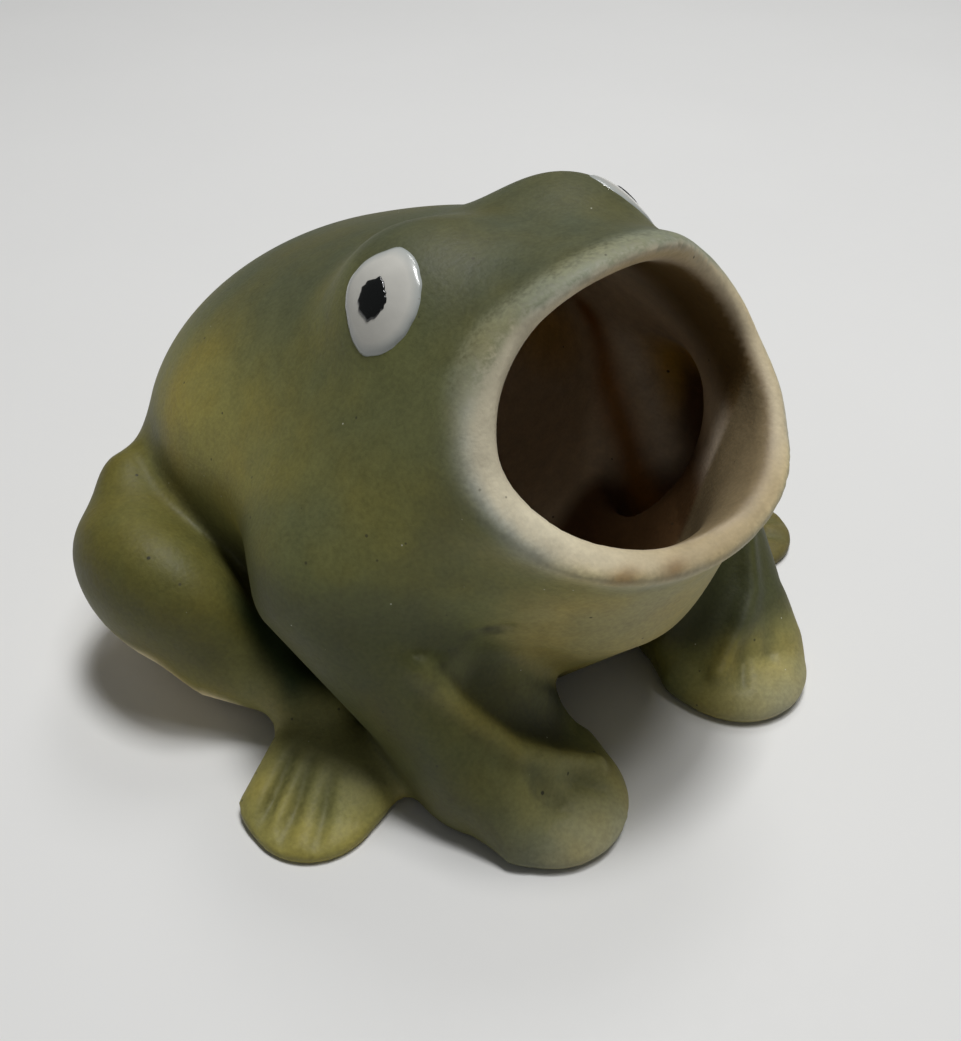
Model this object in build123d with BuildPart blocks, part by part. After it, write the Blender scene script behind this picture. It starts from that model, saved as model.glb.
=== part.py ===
from build123d import *
from math import atan2, cos, radians, sin, sqrt
import os

# Open-mouthed frog of slip-cast bisque porcelain, in millimetres.
# It faces -Y, its left side is +X, and it stands on z = 0 under the middle of its outline.
# The body is a hollow bag whose mouth is open. Legs are luted on face to face, and the
# eyes are enamel dabs fired on to two bosses on top of the head.

# Casting
wall = 4.5                      # thickness of the shell
lip_round = 1.9                 # rounding of both edges of the lip
overrun = 20.0                  # how far a cutting form reaches past what it cuts

# Body: oval sections about an axis that climbs from the rump to the mouth
body_back = 18.2                # y of the widest section
body_height = 30.6              # z of the widest section
axis_under_mouth = 1.6          # how far the axis passes under the middle of the mouth
body_half_width = 42.2
body_half_height = 31.4
rump_length = 44.5              # widest section to the end of the rump
head_past_lip = 6.5             # how far the last section stands past the lip
rump_shares = (0.95, 0.8, 0.5)  # along the rump, on a half ellipse
head_shares = (                 # along the head, then of the half width and half height
    (0.32, 0.86, 0.98),
    (0.64, 0.71, 0.85),
    (1.0, 0.60, 0.65),
)

# Mouth: the side view of the rim, from the upper lip down to the lower lip
upper_lip_reach = 37.5
upper_lip_height = 80.0
corner_reach = 33.2
corner_drop = 9.0               # drops are measured down from the upper lip
cheek_reach = 39.2
cheek_drop = 22.0
lower_lip_reach = 55.7
lower_lip_drop = 33.5

# Chest: a column that carries the throat down to the floor between the front legs
chest_foot_reach = 15.8
chest_foot_half_width = 11.7
chest_full_reach = 29.8
chest_full_share = 0.69         # of the way up to the lower lip
chest_half_width = 20.5
chest_top_reach = 34.0
chest_top_share = 0.99
chest_top_half_width = 16.0

# Eye bosses, and the enamel on them
boss_depth = 7.0                # from the middle of the boss to the middle of the white
boss_half_length = 11.5         # front to back
boss_half_height = 12.5         # up the slope of the eye
eye_side_share = 0.517          # the middle of the white, of the body's half width,
eye_above_share = 0.747         # of its half height above the axis
eye_along_share = 0.569         # and of the head's length
gaze_lift = 37.4                # degrees that the eyes look up
gaze_turn = 10.7                # degrees that they look forwards of sideways
eye_thickness = 0.8
eye_half_height = 7.2
eye_half_width = 5.7
pupil_thickness = 0.4
pupil_half_height = 3.0
pupil_half_width = 2.3

# Front legs
withers_side = 10.0             # where the leg starts, inside the body
withers_reach = 10.0
withers_height = 38.0
withers_half_width = 7.0
shoulder_side = 30.2
shoulder_reach = 15.9
shoulder_height = 32.4
shoulder_half_width = 16.4
shoulder_half_depth = 12.6
front_ankle_side = 24.0
front_ankle_reach = 37.5
front_ankle_height = 9.5
front_ankle_half_width = 11.6
front_ankle_half_depth = 8.8
front_ball_side = 21.8
front_ball_reach = 48.0
front_ball_height = 1.2
front_foot_half_width = 12.2
front_foot_half_depth = 7.2
front_toe_length = 12.2         # ball of the foot to the toe tips
front_groove_shares = (-0.5, 0.0, 0.5)

# Hind legs: the haunch, then the lower leg and the foot
flank_side = 24.0               # where the leg starts, inside the body
flank_back = 33.0
flank_height = 25.0
flank_half_width = 8.0
flank_half_depth = 8.0
hip_side = 40.5
hip_back = 26.5
hip_height = 22.8
hip_half_width = 11.4
hip_half_depth = 11.0
haunch_side = 49.0
haunch_back = 14.0
haunch_height = 18.6
haunch_half_width = 12.0
haunch_half_depth = 15.4
knee_side = 47.5
knee_back = 2.0
knee_height = 15.8
knee_half_width = 8.8
knee_half_depth = 12.4
knee_length = 6.5               # the rounded end past the knee's section
shin_side = 47.0
shin_back = 6.0
shin_height = 12.5
shin_half_width = 7.0
hind_ankle_side = 42.4
hind_ankle_reach = 13.8
hind_ankle_height = 4.8
hind_ankle_half_width = 6.2
hind_ball_side = 49.2
hind_ball_reach = 26.2
hind_ball_height = 0.6
hind_foot_half_width = 11.4
hind_foot_half_depth = 5.4
hind_toe_length = 11.6
hind_groove_shares = (-0.6, -0.2, 0.2, 0.6)
web_side = 36.0                 # the low mound of clay that ties the two feet of a side together
web_reach = 26.5
web_half_length = 15.0
web_half_width = 10.5
web_half_height = 6.0
web_turn = 35.0                 # degrees from front foot to hind foot

# Feet of both kinds
toe_share = 0.65                # where along the toes the last section stands
groove_radius = 1.1

UP = Vector(0, 0, 1)
SIDES = (("right", -1), ("left", 1))
os.makedirs("parts", exist_ok=True)


def ellipsoid(half_sizes, place):
    """A ball of unit radius stretched to its half sizes and put in its place."""
    with BuildPart() as ball:
        Sphere(1)
        scale(by=half_sizes)
    return ball.part.moved(place)


def loft_through(stations, tip):
    """One skin through oval sections that ends in a point, as clay is drawn out."""
    with BuildPart() as form:
        sections = []
        for plane, half_width, half_height in stations:
            with BuildSketch(plane, mode=Mode.PRIVATE) as section:
                Ellipse(half_width, half_height)
            sections.append(section.sketch)
        loft(sections=[*sections, Vertex(*tip)])
    return form.part


def across(center, direction):
    """A plane square to the direction, with its x axis level."""
    return Plane(origin=center, x_dir=UP.cross(direction), z_dir=direction)


# Body: its axis aims at the mouth
lower_lip_height = upper_lip_height - lower_lip_drop
mouth_reach = (lower_lip_reach + upper_lip_reach) / 2
mouth_height = (lower_lip_height + upper_lip_height) / 2
climb = atan2(mouth_height - axis_under_mouth - body_height, mouth_reach + body_back)


def along_axis(reach, height):
    """How far a point of the middle plane lies along the body's axis."""
    return (body_back + reach) * cos(climb) + (height - body_height) * sin(climb)


lower_lip_along = along_axis(lower_lip_reach, lower_lip_height)
upper_lip_along = along_axis(upper_lip_reach, upper_lip_height)
head_length = max(lower_lip_along, upper_lip_along) + head_past_lip
body_plane = Plane(
    origin=(0, body_back, body_height), x_dir=(1, 0, 0), z_dir=(0, -cos(climb), sin(climb))
)


def bag(inset):
    """The body's oval sections, all drawn in by the inset, from the mouth to the rump."""
    stations = []
    for along, width_share, height_share in reversed(head_shares):
        half_width = width_share * body_half_width - inset
        half_height = height_share * body_half_height - inset
        stations.append((body_plane.offset(along * head_length), half_width, half_height))
    half_width = body_half_width - inset
    half_height = body_half_height - inset
    length = rump_length - inset
    stations.append((body_plane, half_width, half_height))
    for along in reversed(rump_shares):
        shrink = sqrt(1 - along**2)
        stations.append((body_plane.offset(-along * length), shrink * half_width, shrink * half_height))
    return loft_through(stations, body_plane.offset(-length).origin)


def eye_plane(side):
    """The plane through the middle of a boss, square to the way that the eye looks."""
    lift = radians(gaze_lift)
    turn = radians(gaze_turn)
    look = Vector(side * cos(lift) * cos(turn), -cos(lift) * sin(turn), sin(lift))
    sideways = side * eye_side_share * body_half_width
    above = eye_above_share * body_half_height
    white = body_plane.from_local_coords((sideways, above, eye_along_share * head_length))
    return across(white - look * boss_depth, look)


def boss(side, growth):
    """The mound under an eye, grown by the thickness of what lies on it."""
    half_sizes = (boss_half_length + growth, boss_half_height + growth, boss_depth + growth)
    return ellipsoid(half_sizes, eye_plane(side).location)


def chest(inset):
    """Round sections from the floor to the throat, all drawn in by the inset."""
    with BuildPart() as column:
        for height, reach, half_width in (
            (0, chest_foot_reach, chest_foot_half_width),
            (chest_full_share * lower_lip_height, chest_full_reach, chest_half_width),
            (chest_top_share * lower_lip_height, chest_top_reach, chest_top_half_width),
        ):
            with BuildSketch(Plane((0, -reach, height))):
                Circle(half_width - inset)
        loft()
    return column.part


bosses = [boss(side, 0) for name, side in SIDES]

with BuildPart() as body_form:
    add(chest(0))
    add(bag(0))
    add(bosses)
    split(bisect_by=Plane.XY)

with BuildPart() as hollow:
    add(chest(wall))
    add(bag(wall))
    split(bisect_by=Plane.XY.offset(wall))

with BuildPart() as body_shell:
    add(body_form.part)
    add(hollow.part, mode=Mode.SUBTRACT)
    with BuildSketch(Plane.YZ):
        with BuildLine():
            lower_lip = (-lower_lip_reach, lower_lip_height)
            upper_lip = (-upper_lip_reach, upper_lip_height)
            cheek = (-cheek_reach, upper_lip_height - cheek_drop)
            corner = (-corner_reach, upper_lip_height - corner_drop)
            rim = Spline(lower_lip, cheek, corner, upper_lip)
            below = rim @ 0 - (rim % 0) * overrun
            above = rim @ 1 + (rim % 1) * overrun
            ahead = -lower_lip_reach - 2 * overrun
            Polyline(lower_lip, below, (ahead, below.Y), (ahead, above.Y), above, upper_lip)
        make_face()
    extrude(amount=body_half_width, both=True, mode=Mode.SUBTRACT)
    fillet(body_shell.faces().filter_by(GeomType.EXTRUSION).edges(), lip_round)
body_shell.part.label = "body_shell"
export_step(body_shell.part, "parts/body_shell.step")


# Limbs
def foot_stations(ball, direction, half_width, half_depth, toe_length):
    """The last two sections of a foot and its tip, rounded off as a half ellipse."""
    shrink = sqrt(1 - toe_share**2)
    toes = ball + direction * toe_length * toe_share
    stations = [
        (across(ball, direction), half_width, half_depth),
        (across(toes, direction), shrink * half_width, shrink * half_depth),
    ]
    return stations, ball + direction * toe_length


def groove(stations, share):
    """A thin rod that lies along the top of a foot, at a share of its half width."""
    ends = []
    for plane, half_width, half_depth in stations:
        ends.append(plane.from_local_coords((share * half_width, half_depth * sqrt(1 - share**2), 0)))
    run = ends[1] - ends[0]
    with BuildPart(Plane(origin=(ends[0] + ends[1]) / 2, z_dir=run)) as rod:
        Cylinder(groove_radius, 2 * run.length)
    return rod.part


def front_leg(side):
    """Shoulder to toes in one loft, with grooves between the toes."""
    shoulder = Vector(side * shoulder_side, -shoulder_reach, shoulder_height)
    ankle = Vector(side * front_ankle_side, -front_ankle_reach, front_ankle_height)
    ball = Vector(side * front_ball_side, -front_ball_reach, front_ball_height)
    leg_way = (ankle - shoulder).normalized()
    foot_way = Vector(ball.X - ankle.X, ball.Y - ankle.Y, 0).normalized()
    foot, tip = foot_stations(
        ball, foot_way, front_foot_half_width, front_foot_half_depth, front_toe_length
    )
    withers = Vector(side * withers_side, -withers_reach, withers_height)
    leg = [
        (across(withers, shoulder - withers), withers_half_width, withers_half_width),
        (across(shoulder, leg_way), shoulder_half_width, shoulder_half_depth),
        (across(ankle, leg_way + foot_way), front_ankle_half_width, front_ankle_half_depth),
    ]
    return loft_through(leg + foot, tip), [groove(foot, share) for share in front_groove_shares]


def haunch(side):
    """Flank to knee in one loft that swells over the thigh."""
    flank = Vector(side * flank_side, flank_back, flank_height)
    hip = Vector(side * hip_side, hip_back, hip_height)
    thigh = Vector(side * haunch_side, haunch_back, haunch_height)
    knee = Vector(side * knee_side, knee_back, knee_height)
    stations = [
        (across(flank, hip - flank), flank_half_width, flank_half_depth),
        (across(hip, thigh - flank), hip_half_width, hip_half_depth),
        (across(thigh, knee - hip), haunch_half_width, haunch_half_depth),
        (across(knee, knee - thigh), knee_half_width, knee_half_depth),
    ]
    return loft_through(stations, knee + (knee - thigh).normalized() * knee_length)


def lower_leg(side):
    """Shin to toes in one loft, with grooves between the toes."""
    shin = Vector(side * shin_side, shin_back, shin_height)
    ankle = Vector(side * hind_ankle_side, -hind_ankle_reach, hind_ankle_height)
    ball = Vector(side * hind_ball_side, -hind_ball_reach, hind_ball_height)
    leg_way = (ankle - shin).normalized()
    foot_way = Vector(ball.X - ankle.X, ball.Y - ankle.Y, 0).normalized()
    foot, tip = foot_stations(
        ball, foot_way, hind_foot_half_width, hind_foot_half_depth, hind_toe_length
    )
    leg = [
        (across(shin, leg_way), shin_half_width, shin_half_width),
        (across(ankle, leg_way + foot_way), hind_ankle_half_width, hind_ankle_half_width),
    ]
    return loft_through(leg + foot, tip), [groove(foot, share) for share in hind_groove_shares]


arm, arm_grooves = front_leg(-1)
with BuildPart() as right_front_leg:
    add(arm)
    add(arm_grooves, mode=Mode.SUBTRACT)
    split(bisect_by=Plane.XY)
    add(body_form.part, mode=Mode.SUBTRACT)
right_front_leg.part.label = "right_front_leg"
export_step(right_front_leg.part, "parts/right_front_leg.step")

shank, shank_grooves = lower_leg(-1)
thigh = haunch(-1)
web = ellipsoid(
    (web_half_length, web_half_width, web_half_height),
    Location((-web_side, -web_reach, 0), (0, 0, -web_turn)),
)
with BuildPart() as right_hind_leg:
    add(shank)
    add(shank_grooves, mode=Mode.SUBTRACT)
    add([thigh, web])
    split(bisect_by=Plane.XY)
    add([body_form.part, right_front_leg.part], mode=Mode.SUBTRACT)
right_hind_leg.part.label = "right_hind_leg"
export_step(right_hind_leg.part, "parts/right_hind_leg.step")

with BuildPart() as left_front_leg:
    mirror(right_front_leg.part, about=Plane.YZ)
left_front_leg.part.label = "left_front_leg"
export_step(left_front_leg.part, "parts/left_front_leg.step")

with BuildPart() as left_hind_leg:
    mirror(right_hind_leg.part, about=Plane.YZ)
left_hind_leg.part.label = "left_hind_leg"
export_step(left_hind_leg.part, "parts/left_hind_leg.step")


# Eyes
def enamel(side, thickness, half_height, half_width):
    """The grown boss within an oval about the way that the eye looks."""
    cover = boss(side, thickness)
    with BuildPart() as dab:
        with BuildSketch(eye_plane(side)):
            Ellipse(half_width, half_height)
        extrude(amount=boss_depth + overrun)
        add(cover, mode=Mode.INTERSECT)
    return dab.part


for name, side in SIDES:
    white = enamel(side, eye_thickness, eye_half_height, eye_half_width)
    black = enamel(side, eye_thickness + pupil_thickness, pupil_half_height, pupil_half_width)
    with BuildPart() as eye:
        add(white)
        add(body_form.part, mode=Mode.SUBTRACT)
    eye.part.label = f"{name}_eye"
    export_step(eye.part, f"parts/{name}_eye.step")
    with BuildPart() as pupil:
        add(black)
        add([white, body_form.part], mode=Mode.SUBTRACT)
    pupil.part.label = f"{name}_pupil"
    export_step(pupil.part, f"parts/{name}_pupil.step")
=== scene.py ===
# %% [markdown]
# # An open-mouthed frog of slip-cast bisque
# The part was modelled as solids, packed, and is loaded here as a fixed frame. This file gives it
# its looks. All objects are in metres, in the same frame: the frog faces -Y, its own left side is
# +X, and it stands on z = 0. The shapes below are worked out in millimetres.

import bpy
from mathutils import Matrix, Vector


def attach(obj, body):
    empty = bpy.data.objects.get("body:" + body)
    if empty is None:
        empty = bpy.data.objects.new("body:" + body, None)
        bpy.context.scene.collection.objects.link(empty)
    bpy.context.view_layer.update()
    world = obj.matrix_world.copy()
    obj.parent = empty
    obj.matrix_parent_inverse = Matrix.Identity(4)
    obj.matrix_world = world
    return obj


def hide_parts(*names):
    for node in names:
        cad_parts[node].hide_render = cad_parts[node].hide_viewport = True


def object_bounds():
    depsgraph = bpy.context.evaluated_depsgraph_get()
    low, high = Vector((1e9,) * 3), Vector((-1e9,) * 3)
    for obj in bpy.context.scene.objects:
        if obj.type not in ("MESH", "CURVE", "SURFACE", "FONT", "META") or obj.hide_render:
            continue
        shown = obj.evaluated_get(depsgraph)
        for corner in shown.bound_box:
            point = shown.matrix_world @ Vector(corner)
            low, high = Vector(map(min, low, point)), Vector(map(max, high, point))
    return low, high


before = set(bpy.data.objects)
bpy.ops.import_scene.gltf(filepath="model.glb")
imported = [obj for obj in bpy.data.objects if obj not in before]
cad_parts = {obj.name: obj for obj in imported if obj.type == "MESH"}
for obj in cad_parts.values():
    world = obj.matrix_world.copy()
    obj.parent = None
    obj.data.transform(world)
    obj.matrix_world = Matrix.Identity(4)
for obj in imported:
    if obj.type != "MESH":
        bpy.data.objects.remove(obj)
cad_box = [list(corner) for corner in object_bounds()]
print("solids:", sorted(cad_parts))
print("box of the solids in mm:", [[round(1000 * v, 1) for v in corner] for corner in cad_box])

# %% Libraries
import bpy
import numpy as np
from mathutils import Vector

MM, TINY = 0.001, 1e-9
scene = bpy.context.scene

# %% [markdown]
# ## Camera
# The photograph looks down at the frog from its right front. The camera was found by fitting: it
# stands 40 degrees round to the frog's right and looks 40 degrees down, with no roll. The long side
# of the sensor is the image's height.

# %% Camera
IMAGE_HEIGHT, FOCAL_PIXELS = 1041, 1150.0
SENSOR = 36.0
CAMERA_PLACE = Vector((-96.9, -122.2, 144.9)) * MM
CAMERA_ROUND, CAMERA_DOWN = np.radians(-40.0), np.radians(40.0)
back = Vector((
    np.sin(CAMERA_ROUND) * np.cos(CAMERA_DOWN),
    -np.cos(CAMERA_ROUND) * np.cos(CAMERA_DOWN),
    np.sin(CAMERA_DOWN),
))
camera = bpy.data.objects.new("camera", bpy.data.cameras.new("camera"))
scene.collection.objects.link(camera)
camera.location = CAMERA_PLACE
camera.rotation_euler = (-back).to_track_quat("-Z", "Y").to_euler()
camera.data.sensor_width = SENSOR
camera.data.lens = SENSOR * FOCAL_PIXELS / IMAGE_HEIGHT
camera.data.clip_start, camera.data.clip_end = 0.01, 20.0
scene.camera = camera
print("lens in mm:", round(camera.data.lens, 2))

# %% [markdown]
# ## Clay forms
# Slip-cast clay has no seams: the legs run into the body in soft hollows, as if they were poured.
# A grid over two parameters can't branch like that, so the clay is made another way. Each form is
# a field, a number for every point in space that is about the distance to the form, and negative
# inside it. A smooth minimum of two fields joins two forms with a soft fillet.

# %% Joining fields
def joined(a, b, softness):
    """Smooth minimum: the smaller of two fields, less a dip where they differ by under the softness."""
    share = np.clip(0.5 + 0.5 * (b - a) / softness, 0, 1)
    return b + (a - b) * share - softness * share * (1 - share)


def cut(a, b, softness):
    """Smooth maximum: what lies in both forms, with a rounded edge."""
    return -joined(-a, -b, softness)


# %% Simple forms
def turned(yaw, pitch, roll):
    """Axes of a form turned about Z, then X, then Y, in degrees, one axis in each column."""
    z, x, y = np.radians([yaw, pitch, roll])
    about_z = np.array([[np.cos(z), -np.sin(z), 0], [np.sin(z), np.cos(z), 0], [0, 0, 1]])
    about_x = np.array([[1, 0, 0], [0, np.cos(x), -np.sin(x)], [0, np.sin(x), np.cos(x)]])
    about_y = np.array([[np.cos(y), 0, np.sin(y)], [0, 1, 0], [-np.sin(y), 0, np.cos(y)]])
    return about_z @ about_x @ about_y


def ball(p, middle, half_sizes, axes=np.eye(3)):
    """Ellipsoid: the length in units of the half sizes, less one, over the slope of that length."""
    q = (p - np.array(middle)) @ axes / np.array(half_sizes)
    length = np.sqrt((q * q).sum(-1))
    slope = np.sqrt(((q / np.array(half_sizes)) ** 2).sum(-1))
    return length * (length - 1) / np.maximum(slope, TINY)


def limb(p, start, end, start_radius, end_radius, flat=1.0, up=(0, 0, 1)):
    """Rod with round ends and a radius that runs from start to end, squashed along up by flat."""
    start, end, up = (np.array(v, float) for v in (start, end, up))
    up = up / np.linalg.norm(up)
    stretch = np.eye(3) + np.outer(up, up) * (1 / flat - 1)
    p, start, end = p @ stretch, start @ stretch, end @ stretch
    run = end - start
    share = np.clip(((p - start) @ run) / (run @ run), 0, 1)
    away = p - start - share[..., None] * run
    radius = start_radius + (end_radius - start_radius) * share
    return (np.sqrt((away * away).sum(-1)) - radius) * np.sqrt(flat)


def curve(x, knots, values):
    """Cubic through the values at the knots, with slopes from the neighbours."""
    knots, values = np.array(knots, float), np.array(values, float)
    slopes = np.gradient(values, knots)
    i = np.clip(np.searchsorted(knots, x) - 1, 0, len(knots) - 2)
    step = knots[i + 1] - knots[i]
    t = np.clip((x - knots[i]) / step, 0, 1)
    rise = values[i + 1] - values[i]
    bend = (slopes[i] * step - rise) * (1 - t) - (slopes[i + 1] * step - rise) * t
    return values[i] + rise * t + t * (1 - t) * bend


# %% [markdown]
# ## Body
# The body is a bag of oval sections about an axis that climbs from the rump to the mouth, with a
# chest that comes down between the front legs and two bosses for the eyes. The mouth is cut by a
# curved sheet, seen from the side.

# %% Body
BODY_MIDDLE = np.array([0, 18.17, 30.59])
BODY_CLIMB = np.radians(25.62)
BODY_AHEAD = np.array([0, -np.cos(BODY_CLIMB), np.sin(BODY_CLIMB)])
BODY_UP = np.array([0, np.sin(BODY_CLIMB), np.cos(BODY_CLIMB)])
RUMP_LENGTH, HEAD_LENGTH = 44.51, 76.0
HEAD_SHARES = (-0.33, 0, 0.33, 0.66, 1.0, 1.33)
HEAD_HALF_WIDTHS = (36.0, 42.19, 36.0, 29.65, 26.52, 25.0)
HEAD_HALF_HEIGHTS = (30.75, 31.38, 30.75, 26.59, 19.8, 13.5)
HEAD_LIFTS = (0, 0, -0.51, -0.36, 0.3, 1.0)
CHEST = ((0, -29.79, 31.93), (0, -15.81, 0), 20.51, 11.74)
BOSS_MIDDLE, BOSS_HALF_SIZES = (13.71, -9.95, 67.2), (10.12, 9.89, 9.3)
CHEST_SOFT, BOSS_SOFT, BROW_SOFT = 12, 10, 2.5
RIM_LEAN = 0.75
RIM_HEIGHTS = (40, 47.2, 49.3, 53, 58, 62.7, 69, 72.7, 78.5, 84)
RIM_REACHES = (67.2, 55.7, 50.6, 45.2, 39.2, 36.2, 33.6, 33.2, 35.8, 38.5)


def bag(p):
    """Half an ellipsoid behind the widest section, and ovals of changing size ahead of it."""
    q = p - BODY_MIDDLE
    side, ahead, up = q[..., 0], q @ BODY_AHEAD, q @ BODY_UP
    rump_sizes = (HEAD_HALF_WIDTHS[1], RUMP_LENGTH, HEAD_HALF_HEIGHTS[1])
    rump = ball(np.stack([side, ahead, up], -1), (0, 0, 0), rump_sizes)
    share = np.maximum(ahead, 0) / HEAD_LENGTH
    half_width = curve(share, HEAD_SHARES, HEAD_HALF_WIDTHS)
    half_height = curve(share, HEAD_SHARES, HEAD_HALF_HEIGHTS)
    up = up - curve(share, HEAD_SHARES, HEAD_LIFTS)
    length = np.sqrt((side / half_width) ** 2 + (up / half_height) ** 2)
    slope = np.sqrt((side / half_width**2) ** 2 + (up / half_height**2) ** 2)
    head = length * (length - 1) / np.maximum(slope, TINY)
    return np.where(ahead < 0, rump, head)


def body(p, eyes=True):
    """The bag and the chest in one, with the eye bosses if they are asked for.

    The distance from the middle plane is softened for the bosses, so they meet without a crease."""
    trunk = joined(bag(p), limb(p, *CHEST), CHEST_SOFT)
    if not eyes:
        return trunk
    m = np.stack([np.sqrt(p[..., 0] ** 2 + BROW_SOFT**2), p[..., 1], p[..., 2]], -1)
    return joined(trunk, ball(m, BOSS_MIDDLE, BOSS_HALF_SIZES), BOSS_SOFT)


def ahead_of_rim(p):
    """Positive in front of the leaning sheet that cuts the mouth: the way along Y, times the lean."""
    return (-curve(p[..., 2], RIM_HEIGHTS, RIM_REACHES) - p[..., 1]) * RIM_LEAN


# %% [markdown]
# ## Feet
# Each foot is a thick paddle: a round outline seen from above, walls that stand up from the floor
# and draw in a little where they meet it, and a top that falls from the ankle to the toes, with a
# wide soft edge. Grooves between the toes fan out from the ankle. They were pressed into the soft
# clay, so they are shallow and fade out at both ends.

# %% Feet
TUCK, TUCK_HEIGHT = 1.2, 2.5
TOP_LEAN, TOP_SOFT = 0.95, 7
GROOVE_RISE, GROOVE_FALL, GROOVE_FOOT = (-0.1, 0.35), (0.75, 1.1), (1.5, 3.5)


def ramp(x, low, high):
    """Rises from 0 at low to 1 at high along a smooth S."""
    t = np.clip((x - low) / (high - low), 0, 1)
    return t * t * (3 - 2 * t)


def paddle(p, heel, toe, heel_radius, toe_radius, heel_height, toe_height):
    """Inside a rod seen from above, drawn in near the floor, and under a plane from heel to toe."""
    flat = p * np.array([1, 1, 0])
    heel, toe = np.array([*heel, 0.0]), np.array([*toe, 0.0])
    run = toe - heel
    share = np.clip(((flat - heel) @ run) / (run @ run), -1, 1.5)
    under = TOP_LEAN * (p[..., 2] - heel_height - (toe_height - heel_height) * share)
    tuck = TUCK * (1 - ramp(p[..., 2], 0, TUCK_HEIGHT))
    return cut(limb(flat, heel, toe, heel_radius, toe_radius) + tuck, under, TOP_SOFT)


def groove(p, start, end, width, depth):
    """A valley along a line seen from above: a bell curve across it, fading towards both ends."""
    start, end = np.array(start, float), np.array(end, float)
    run = end - start
    share = ((p[..., :2] - start) @ run) / (run @ run)
    away = p[..., :2] - start - np.clip(share, 0, 1)[..., None] * run
    across = np.exp(-(away * away).sum(-1) / width**2)
    along = ramp(share, *GROOVE_RISE) * (1 - ramp(share, *GROOVE_FALL))
    return depth * across * along * ramp(p[..., 2], *GROOVE_FOOT)


# %% [markdown]
# ## Legs
# A front leg is a flattened column that ends in a flat foot. A hind leg is a full thigh, with a hip
# and a groin that run into the flank, a thin shin and a flat foot. A low web of clay ties the two
# feet of a side together. Both sides are alike, so the fields read the distance from the middle plane.

# %% Legs
# A rod has two ends, a radius at each, a flatness and the way in which it is flattened.
# A foot has a heel and a toe seen from above, a radius at each and a height at each.
FRONT_COLUMN = ((29.62, -14.81, 32.13), (24.27, -37.32, 5.35), 16.63, 11.17, 0.8, (0, 0.7, 0.7))
FRONT_FOOT = ((23.4, -41.5), (21.1, -48.0), 9.0, 12.8, 10.5, 7.0)
FRONT_FOOT_SOFT = 12
THIGH_MIDDLE, THIGH_HALF_SIZES = (49.89, 12.17, 18.13), (9.72, 16.64, 15.01)
THIGH_TURNS = (-14.79, 5.51, 16.37)
HIP = ((27.05, 36.47, 26.17), (45.17, 29.59, 28.76), 8.3, 3.63, 0.81, (0.9, 0.3, 0.3))
GROIN = ((37.5, 18.0, 13.0), (37.5, -1.0, 12.0), 6.5, 6.5)
SHIN = ((46.8, 1.0, 11.8), (39.3, -15.3, 6.6), 9.2, 3.6, 0.75, (0.95, -0.3, 0))
HIND_FOOT = ((42.17, -16.89), (48.44, -25.53), 6.52, 12.21, 8.5, 5.0)
WEB = ((28.31, -29.44, 1.0), (42.38, -22.69, 1.0), 6.2, 6.2, 0.7)
HAUNCH_BACK = ((28.0, 28.0, 18.0), (43.0, 20.0, 16.0), 14.0, 12.0)
HIP_SOFT, GROIN_SOFT, SHIN_SOFT = 16, 3, 4
HIND_FOOT_SOFT, WEB_SOFT, HAUNCH_BACK_SOFT = 4, 5, 6
# A groove has a start and an end seen from above, a width and a depth.
FRONT_GROOVES = (
    ((20.5, -49.0), (15.0, -54.5), 1.1, 0.5),
    ((27.0, -47.5), (22.5, -54.0), 1.1, 0.5),
)
HIND_GROOVES = (
    ((45.5, -18.5), (59.9, -26.4), 1.0, 1.2),
    ((44.7, -21.5), (59.0, -31.1), 1.0, 1.2),
    ((43.9, -25.0), (54.9, -34.8), 1.0, 1.0),
)


def mirrored(p):
    """The same point on the frog's left side."""
    return np.stack([np.abs(p[..., 0]), p[..., 1], p[..., 2]], -1)


def front_leg(p):
    """Column from the shoulder to the ankle, joined with the foot, with grooves in it."""
    p = mirrored(p)
    leg = joined(limb(p, *FRONT_COLUMN), paddle(p, *FRONT_FOOT), FRONT_FOOT_SOFT)
    return leg + sum(groove(p, *line) for line in FRONT_GROOVES)


def hind_leg(p, full=True):
    """Thigh joined with hip, groin, shin, foot and web, and with the haunch's back if it is full."""
    p = mirrored(p)
    leg = ball(p, THIGH_MIDDLE, THIGH_HALF_SIZES, turned(*THIGH_TURNS))
    for rod, softness in ((HIP, HIP_SOFT), (GROIN, GROIN_SOFT), (SHIN, SHIN_SOFT)):
        leg = joined(leg, limb(p, *rod), softness)
    foot = paddle(p, *HIND_FOOT) + sum(groove(p, *line) for line in HIND_GROOVES)
    leg = joined(joined(leg, foot, HIND_FOOT_SOFT), limb(p, *WEB), WEB_SOFT)
    return joined(leg, limb(p, *HAUNCH_BACK), HAUNCH_BACK_SOFT) if full else leg


# %% [markdown]
# ## Folds
# Where the front leg meets the chest, the skin is gathered: a ridge runs down the inner edge of the
# leg to the foot, with a valley beside it, and two small creases lie at its top end. Each one raises
# or presses the clay by a bell curve round a line in space.

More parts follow.
